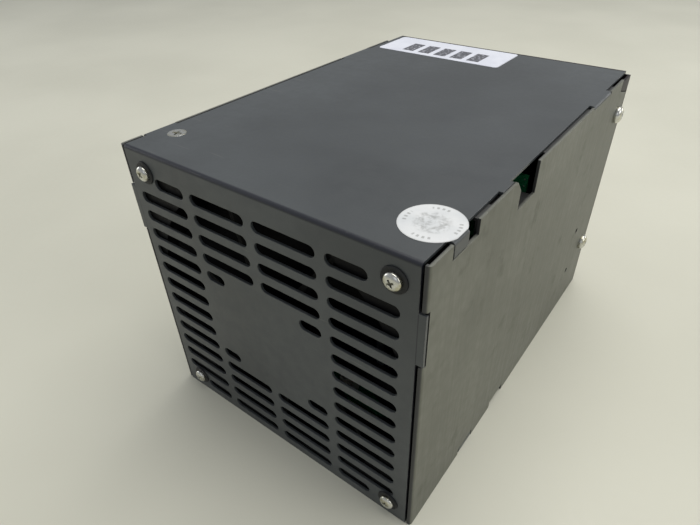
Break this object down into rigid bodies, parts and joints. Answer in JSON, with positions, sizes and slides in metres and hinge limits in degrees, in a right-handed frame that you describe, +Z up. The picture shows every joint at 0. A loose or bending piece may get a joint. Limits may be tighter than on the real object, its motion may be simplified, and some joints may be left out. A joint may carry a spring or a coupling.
{
  "type": "din rail power supply",
  "caption": "Fan-cooled boxed DIN rail power supply with slotted fan grille, folded dark cover, bare side panels, screw terminals and a sprung rail latch.",
  "frame": {"origin": "centre of the bounding box's underside, on the surface that the base plate rests on", "axes": "+Z up; -Y out of the fan grille; +Y out of the terminal end; -X out of the rail adapter"},
  "size_m": [0.1405, 0.1929, 0.1214],
  "materials": {
    "case_paint": "satin",
    "end_plate_paint": "satin",
    "zinc_sheet": "dull passivated zinc",
    "zinc_screw": "bright zinc",
    "black_washer": "black oxide",
    "label_film": "satin film",
    "seal_film": "satin film",
    "black_plastic": "moulded",
    "copper_winding": "enamelled",
    "wire_sleeve": "smooth",
    "plug_plastic": "moulded",
    "adapter_metal": "black passivated die casting",
    "latch_steel": "plated",
    "brass_parts": "plain",
    "board_green": "solder mask",
    "led_green": "clear tinted",
    "trimmer_blue": "moulded",
    "trimmer_white": "moulded",
    "insulator_film": "film",
    "capacitor_yellow": "moulded",
    "capacitor_sleeve": "shrunk sleeve",
    "fuse_glass": "clear",
    "heatsink_aluminium": "extruded",
    "ferrite": "fired",
    "winding_tape": "polyester tape"
  },
  "bodies": {
    "case": {"cover": "case_paint", "base_plate": "case_paint", "end_plate": "end_plate_paint", "side_panel_left": "zinc_sheet", "side_panel_right": "zinc_sheet", "corner_rails": "zinc_sheet", "cover_screws": "zinc_screw", "side_screws": "zinc_screw", "base_screws": "zinc_screw", "fan_screws": "zinc_screw", "fan_washers": "black_washer", "inventory_label": "label_film", "round_seal": "seal_film", "fan_frame": "black_plastic", "fan_stator": "copper_winding", "fan_lead": "wire_sleeve", "fan_plug": "plug_plastic", "din_adapter": "adapter_metal", "latch_spring": "latch_steel", "adapter_screws": "zinc_screw", "input_terminal_base": "black_plastic", "output_terminal_base": "black_plastic", "terminal_contacts": "brass_parts", "status_led": "led_green", "trimmer_body": "trimmer_blue", "earth_stud": "brass_parts", "earth_nut": "zinc_screw", "insulating_sheet": "insulator_film", "main_board": "board_green", "control_board": "board_green", "standoffs": "brass_parts", "board_screws": "zinc_screw", "line_filter_choke": "copper_winding", "filter_capacitors": "capacitor_yellow", "fuse": "fuse_glass", "bulk_capacitors": "capacitor_sleeve", "input_heatsink": "heatsink_aluminium", "output_heatsink": "heatsink_aluminium", "power_transistors": "black_plastic", "transformer_core": "ferrite", "transformer_winding": "winding_tape", "output_choke": "copper_winding", "output_capacitors": "capacitor_sleeve"},
    "rail_latch": {"din_latch": "latch_steel"},
    "fan_rotor": {"fan_rotor": "black_plastic"},
    "trimmer_rotor": {"trimmer_rotor": "trimmer_white"},
    "clamp_plate_1": {"clamp_plate_1": "latch_steel"},
    "clamp_screw_1": {"clamp_screw_1": "zinc_screw"},
    "clamp_plate_2": {"clamp_plate_2": "latch_steel"},
    "clamp_screw_2": {"clamp_screw_2": "zinc_screw"},
    "clamp_plate_3": {"clamp_plate_3": "latch_steel"},
    "clamp_screw_3": {"clamp_screw_3": "zinc_screw"},
    "clamp_plate_4": {"clamp_plate_4": "latch_steel"},
    "clamp_screw_4": {"clamp_screw_4": "zinc_screw"},
    "clamp_plate_5": {"clamp_plate_5": "latch_steel"},
    "clamp_screw_5": {"clamp_screw_5": "zinc_screw"},
    "clamp_plate_6": {"clamp_plate_6": "latch_steel"},
    "clamp_screw_6": {"clamp_screw_6": "zinc_screw"},
    "clamp_plate_7": {"clamp_plate_7": "latch_steel"},
    "clamp_screw_7": {"clamp_screw_7": "zinc_screw"}
  },
  "joints": [
    {"name": "fan_spin", "type": "hinge", "parent": "case", "child": "fan_rotor", "pos_m": [0.0048, -0.08065, 0.06055], "axis": [0, 1, 0], "continuous": true},
    {"name": "rail_latch_slide", "type": "slide", "parent": "case", "child": "rail_latch", "axis": [0, -1, 0], "range_m": [0, 0.0055], "stiffness_N_per_m": 1200, "springref_m": -0.004, "deforming": ["latch_spring"]},
    {"name": "trimmer_turn", "type": "hinge", "parent": "case", "child": "trimmer_rotor", "pos_m": [0.0003, 0.08395, 0.046], "axis": [0, 1, 0], "range_deg": [-135, 135]},
    {"name": "clamp_plate_1_travel", "type": "slide", "parent": "case", "child": "clamp_plate_1", "axis": [0, 1, 0], "range_m": [0, 0.0028]},
    {"name": "clamp_screw_1_turn", "type": "hinge", "parent": "clamp_plate_1", "child": "clamp_screw_1", "pos_m": [-0.04145, 0.09195, 0.023], "axis": [0, 1, 0], "range_deg": [0, 1441]},
    {"name": "clamp_plate_2_travel", "type": "slide", "parent": "case", "child": "clamp_plate_2", "axis": [0, 1, 0], "range_m": [0, 0.0028]},
    {"name": "clamp_screw_2_turn", "type": "hinge", "parent": "clamp_plate_2", "child": "clamp_screw_2", "pos_m": [-0.03045, 0.09195, 0.023], "axis": [0, 1, 0], "range_deg": [0, 1441]},
    {"name": "clamp_plate_3_travel", "type": "slide", "parent": "case", "child": "clamp_plate_3", "axis": [0, 1, 0], "range_m": [0, 0.0028]},
    {"name": "clamp_screw_3_turn", "type": "hinge", "parent": "clamp_plate_3", "child": "clamp_screw_3", "pos_m": [-0.01945, 0.09195, 0.023], "axis": [0, 1, 0], "range_deg": [0, 1441]},
    {"name": "clamp_plate_4_travel", "type": "slide", "parent": "case", "child": "clamp_plate_4", "axis": [0, 1, 0], "range_m": [0, 0.0028]},
    {"name": "clamp_screw_4_turn", "type": "hinge", "parent": "clamp_plate_4", "child": "clamp_screw_4", "pos_m": [-0.00845, 0.09195, 0.023], "axis": [0, 1, 0], "range_deg": [0, 1441]},
    {"name": "clamp_plate_5_travel", "type": "slide", "parent": "case", "child": "clamp_plate_5", "axis": [0, 1, 0], "range_m": [0, 0.0028]},
    {"name": "clamp_screw_5_turn", "type": "hinge", "parent": "clamp_plate_5", "child": "clamp_screw_5", "pos_m": [0.02455, 0.09195, 0.023], "axis": [0, 1, 0], "range_deg": [0, 1441]},
    {"name": "clamp_plate_6_travel", "type": "slide", "parent": "case", "child": "clamp_plate_6", "axis": [0, 1, 0], "range_m": [0, 0.0028]},
    {"name": "clamp_screw_6_turn", "type": "hinge", "parent": "clamp_plate_6", "child": "clamp_screw_6", "pos_m": [0.03555, 0.09195, 0.023], "axis": [0, 1, 0], "range_deg": [0, 1441]},
    {"name": "clamp_plate_7_travel", "type": "slide", "parent": "case", "child": "clamp_plate_7", "axis": [0, 1, 0], "range_m": [0, 0.0028]},
    {"name": "clamp_screw_7_turn", "type": "hinge", "parent": "clamp_plate_7", "child": "clamp_screw_7", "pos_m": [0.04655, 0.09195, 0.023], "axis": [0, 1, 0], "range_deg": [0, 1441]}
  ],
  "couplings": [
    {"joint": "clamp_screw_1_turn", "follows": "clamp_plate_1_travel", "rad_per_m": 8976},
    {"joint": "clamp_screw_2_turn", "follows": "clamp_plate_2_travel", "rad_per_m": 8976},
    {"joint": "clamp_screw_3_turn", "follows": "clamp_plate_3_travel", "rad_per_m": 8976},
    {"joint": "clamp_screw_4_turn", "follows": "clamp_plate_4_travel", "rad_per_m": 8976},
    {"joint": "clamp_screw_5_turn", "follows": "clamp_plate_5_travel", "rad_per_m": 8976},
    {"joint": "clamp_screw_6_turn", "follows": "clamp_plate_6_travel", "rad_per_m": 8976},
    {"joint": "clamp_screw_7_turn", "follows": "clamp_plate_7_travel", "rad_per_m": 8976}
  ]
}
